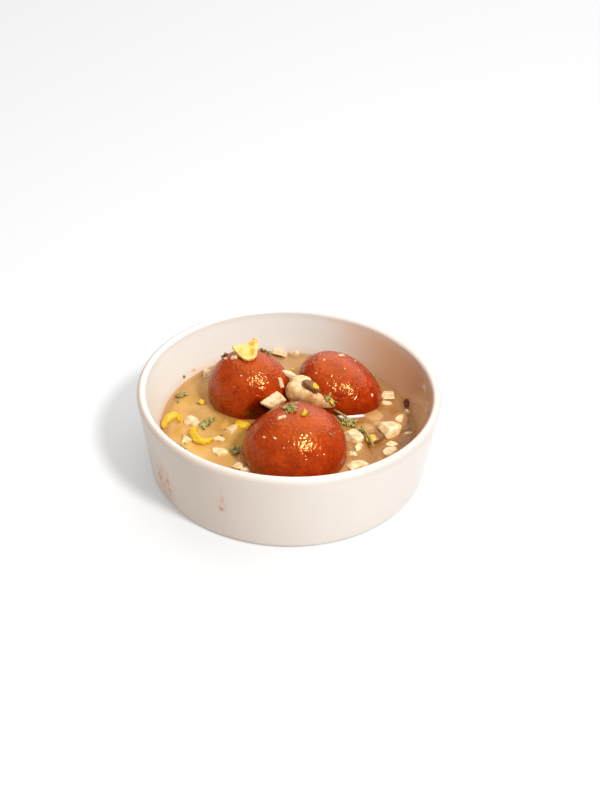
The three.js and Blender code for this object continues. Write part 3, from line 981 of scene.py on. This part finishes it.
def stalk(rng, length, thick):
    """A slightly bent bit of stalk, thinner at its ends."""
    steps, sides = 8, 6
    points = []
    bend = rng.uniform(-0.12, 0.12)
    for i in range(steps):
        share = i / (steps - 1)
        radius = thick / 2 * rng.uniform(0.7, 1.1) * (0.5 if i in (0, steps - 1) else 1)
        for j in range(sides):
            angle = 2 * math.pi * j / sides
            points.append((
                (share - 0.5) * length,
                bend * length * math.sin(math.pi * share) + radius * math.cos(angle),
                radius * math.sin(angle)))
    faces = [tuple(range(sides)), tuple(range(steps * sides - 1, (steps - 1) * sides - 1, -1))]
    for i in range(steps - 1):
        for j in range(sides):
            a, b = i * sides + j, i * sides + (j + 1) % sides
            faces.append((a, a + sides, b + sides, b))
    return points, faces


print("a scrap has", len(scrap(random.Random(1), 2, 1)[1]), "faces")

# %% [markdown]
# ## Dried mint
# Mint that is rubbed between the fingers falls in tufts. A tuft is a handful of scraps, turned
# every way, each dropped onto whatever lies below. The stalks lie between the tufts, some of them
# held up by the scraps, and a few scraps cling to the wall.

# %% Mint
# FULLNESS multiplies the scraps of every tuft, and TIGHTNESS draws them together.
FULLNESS, TIGHTNESS = 1.5, 0.8
LARGEST_SCRAP = 2.7

# Right, behind, how far the tuft spreads along and across, how many scraps, turn.
TUFTS = [
    (0.4, -20.4, 5.2, 6.6, 20, 0), (16.4, 5.2, 5.0, 4.0, 16, -40), (24.5, 1.2, 7.4, 5.0, 24, -20),
    (28.6, -4.4, 5.0, 4.2, 16, -20), (-33.1, -2.8, 9.6, 3.4, 18, 62), (-20.2, -20.2, 5.0, 4.6, 13, 0),
    (-45.0, 16.6, 5.4, 4.0, 15, 20), (-46.1, 11.2, 1.6, 1.2, 3, 0), (19.6, -37.0, 5.0, 1.6, 9, 20),
    (-27.4, 22.0, 2.4, 2.4, 6, 0), (-10.8, 22.8, 5.6, 2.6, 9, -20), (3.6, 15.0, 4.6, 4.0, 11, 0),
    (-39.6, -16.8, 3.6, 1.0, 3, -40), (-26.2, -10.6, 1.8, 1.0, 3, 0), (34.5, 24.0, 2.2, 1.4, 4, 0),
]
# Right, behind, length, thickness, turn, and how far it is held off what lies below.
STALKS = [
    (31.4, -10.0, 13.0, 1.6, -70, 1.6), (20.6, 2.8, 9.0, 1.2, -44, 3.0), (16.7, -28.5, 3.8, 0.5, -66, 0),
    (8.0, -23.4, 2.4, 0.5, 30, 0), (-1.4, -4.4, 2.2, 0.6, 0, 0), (-37.8, 11.0, 2.0, 0.6, 0, 0),
    (-2.0, 1.4, 2.4, 0.6, 40, 0), (-22.0, 3.0, 1.2, 0.3, 60, 0), (5.6, 13.0, 3.0, 0.7, 70, 0),
    (-41.0, -19.6, 5.0, 1.0, -38, 0.8),
]
mint = Heap("dried_mint")
rng = random.Random(11)
for x, y, along, across, count, turn in TUFTS:
    angle = math.radians(turn)
    for _ in range(round(count * FULLNESS)):
        a = rng.uniform(-0.5, 0.5) * along * TIGHTNESS
        b = rng.uniform(-0.5, 0.5) * across * TIGHTNESS
        place, up = landing(
            x + a * math.cos(angle) - b * math.sin(angle), y + a * math.sin(angle) + b * math.cos(angle))
        size = min(across, LARGEST_SCRAP)
        mint.add(
            scrap(rng, size * rng.uniform(0.6, 1.0), size * rng.uniform(0.35, 0.6)),
            place + up * rng.uniform(0.2, 0.9), up, rng.uniform(0, 360), rng.uniform(-50, 50))
for x, y, length, thick, turn, held in STALKS:
    place, up = landing(x, y)
    mint.add(stalk(rng, length, thick), place + up * (thick * 0.5 + held), up, turn)
# Right, behind, height and size of the scraps that cling to the wall.
ON_WALL = [(-45.0, 26.2, 19.6, 2.2), (-44.0, 29.0, 18.6, 1.4), (42.9, 28.9, 17.6, 1.4)]
for x, y, z, size in ON_WALL:
    for _ in range(4):
        mint.add(
            scrap(rng, size * 0.7, size * 0.5), (x, y, z + rng.uniform(-0.3, 0.4)),
            (-x, -y, 14), rng.uniform(0, 360), rng.uniform(-40, 40))
mint.piece(herb_finish, "pistachio")

# %% [markdown]
# ## Nut husk
# A crumpled flake of nut skin, dark red-brown, sticks to the wall on the right, just above the
# syrup. It is made of the same kind of scraps as the mint, pressed together and facing inward.

# %% Nut husk
husk = Heap("nut_husk")
husk_place = Vector((48.4, 16.0, 18.2))
for _ in range(12):
    husk.add(
        scrap(rng, rng.uniform(1.8, 3.2), rng.uniform(1.2, 2.0)),
        husk_place + Vector((rng.uniform(-0.3, 0.3), rng.uniform(-1.9, 1.9), rng.uniform(-1.1, 1.1))),
        (-48, -16, 20), rng.uniform(0, 360), rng.uniform(-50, 50))
husk.piece(husk_finish, "kernel")

# %% [markdown]
# ## Syrup finish
# Light goes into syrup and comes back gold. Here a part of the light goes straight through,
# tinted, and the rest meets a glossy surface of the syrup's own colour. That mix shows what lies
# on the bottom, stays smooth to render and keeps its colour from every side. On the right the
# gold is browner, as painted shade, and it is duller at the back and along the wall. Round each
# dumpling it takes on some of the skin's red, the three largest sunken nuts show as paler
# patches, and a painted highlight, a thin white line, lies on the meniscus at the foot of the
# dumpling on the right.

# %% Syrup finish
# How far the paler patch over each of the first sunken nuts reaches along x, y and z.
PALE_REACHES = [(6, 4.6, 4), (5, 3.6, 4), (5.2, 3, 4)]

syrup = Finish("syrup")
away = syrup.from_axis()
swirl = syrup.noise(14, 3)
gold_and_painted_light = syrup.mix(swirl.above(0.35, 0.65), shade(234, 188, 96), shade(214, 162, 74))
# Painted shade: browner on the right.
gold_and_painted_light = syrup.mix(syrup.axis("X").above(8, 36) * 0.9, gold_and_painted_light, shade(170, 112, 52))
gold_and_painted_light = syrup.mix(syrup.axis("Y").above(16, 44) * 0.7, gold_and_painted_light, shade(200, 160, 118))
gold_and_painted_light = syrup.mix(away.above(44, SYRUP_RADIUS) * 0.8, gold_and_painted_light, shade(190, 152, 108))
for (x, y, *_), reach in zip(SUNK, PALE_REACHES):
    over_nut = syrup.near((x, y, SYRUP_LEVEL), reach).above(0.1, 0.4)
    gold_and_painted_light = syrup.mix(over_nut * 0.7, gold_and_painted_light, shade(232, 178, 104))
cover = 0.6 - away.above(47, SYRUP_RADIUS) * 0.3
for node in DUMPLINGS:
    low, high = node_box(node)
    reach = (high - low) / 2 + Vector((5, 5, 0))
    foot_ring = syrup.near((*((low + high) / 2).xy, SYRUP_LEVEL), reach).above(0, 0.16)
    cover = cover - foot_ring * 0.12
    gold_and_painted_light = syrup.mix(foot_ring * 0.35, gold_and_painted_light, shade(196, 104, 44))
# Painted highlight: a white line on the meniscus at the foot of the right dumpling.
painted_meniscus_highlight = syrup.axis("Z").above(SYRUP_LEVEL + 0.5, SYRUP_LEVEL + 1.0)
painted_meniscus_highlight = painted_meniscus_highlight * syrup.near((25.5, 4.5, SYRUP_LEVEL), (9, 6, 4)).above(0.1, 0.4)
gold_and_painted_light = syrup.mix(painted_meniscus_highlight, gold_and_painted_light, shade(255, 246, 236))
cover = cover + painted_meniscus_highlight * 0.4
clear = syrup.node("ShaderNodeBsdfTransparent", None, {"Color": (1, 0.9, 0.72, 1)})
gloss = syrup.surface(
    Base_Color=gold_and_painted_light, Roughness=syrup.noise(20, 1) * 0.02 + 0.03,
    Normal=syrup.bump(syrup.noise(9, 2), 0.1))
syrup_finish = syrup.done(syrup.node("ShaderNodeMixShader", None, {0: cover, 1: clear, 2: gloss}))
print("syrup nodes:", len(syrup.material.node_tree.nodes))

# %% [markdown]
# ## Where the syrup stands
# Syrup creeps up whatever it wets, so its surface is flat in the open and curves up in a narrow
# edge, the meniscus, against the wall, the dumplings and each floating nut. So the height of the
# surface is worked out from how close a place is to the nearest of these.

# %% Syrup height
WALL_RISE, BALL_RISE, NUT_RISE = 0.5, 1.5, 0.35
WALL_FADE, BALL_FADE, NUT_FADE = 0.9, 1.1, 0.5
NUT_REACH = 4
FLOATING = ("broken_", "yellow_", "skinned_", "chopped_")

ball_tree = tree_of(dumpling_skins)
nut_tree = tree_of([o.name for o in bpy.data.objects if o.name.startswith(FLOATING)])


def syrup_height(x, y):
    """How high the surface stands at a place. Each rise fades over a millimetre or so."""
    here = Vector((x, y, SYRUP_LEVEL))
    wall = hollow_radius(SYRUP_LEVEL) - math.hypot(x, y)
    ball = ball_tree.find_nearest(here)[3]
    nut = nut_tree.find_nearest(here, NUT_REACH)[3]
    rise = WALL_RISE * math.exp(-max(wall, 0) / WALL_FADE) + BALL_RISE * math.exp(-ball / BALL_FADE)
    if nut is not None:
        rise += NUT_RISE * math.exp(-nut / NUT_FADE)
    return SYRUP_LEVEL + rise


print("at the wall the syrup stands", round(syrup_height(SYRUP_RADIUS, 0), 2), "mm up")

# %% [markdown]
# ## Syrup body
# The surface is a fan of fine rings, a little closer together near the wall, and each point is
# lifted to its height. Below the brim the body follows the bowl's rounded corner down to the
# floor. It reaches just into the china, so no gap shows.

# %% Syrup body
RINGS = 150
SPOKES = 480
OVERLAP = 0.7
CORNER_OVERLAP, FLOOR_OVERLAP = 0.3, 0.1

brim = SYRUP_RADIUS + OVERLAP
radii = brim * np.linspace(0, 1, RINGS + 1)[1:] ** 0.9
points = [(0, 0, SYRUP_LEVEL)]
for radius in radii:
    points += [(x, y, syrup_height(x, y)) for x, y, _ in ring(radius, SYRUP_LEVEL, SPOKES)]
depths = [(brim - 0.4, SYRUP_LEVEL - 1.5)]
depths += [(r + CORNER_OVERLAP, z - FLOOR_OVERLAP) for r, z in corner[1:]]
for radius, z in depths:
    points += ring(radius, z, SPOKES)
points.append((0, 0, depths[-1][1]))
# These rings start on top and end below, so each face is turned over.
faces = [face[:1] + face[:0:-1] for face in shell_faces(len(radii) + len(depths), SPOKES)]
piece_of("syrup_pool", points, faces, syrup_finish, ["syrup"])

# %% [markdown]
# ## Sizes
# The box round everything made here is printed in mm. It should agree with the box of the imported
# solids: if it doesn't, a piece has slipped or swollen.

# %% Sizes
low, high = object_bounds()
print("visual box in mm:", [round(c / MM, 2) for c in (*low, *high)])
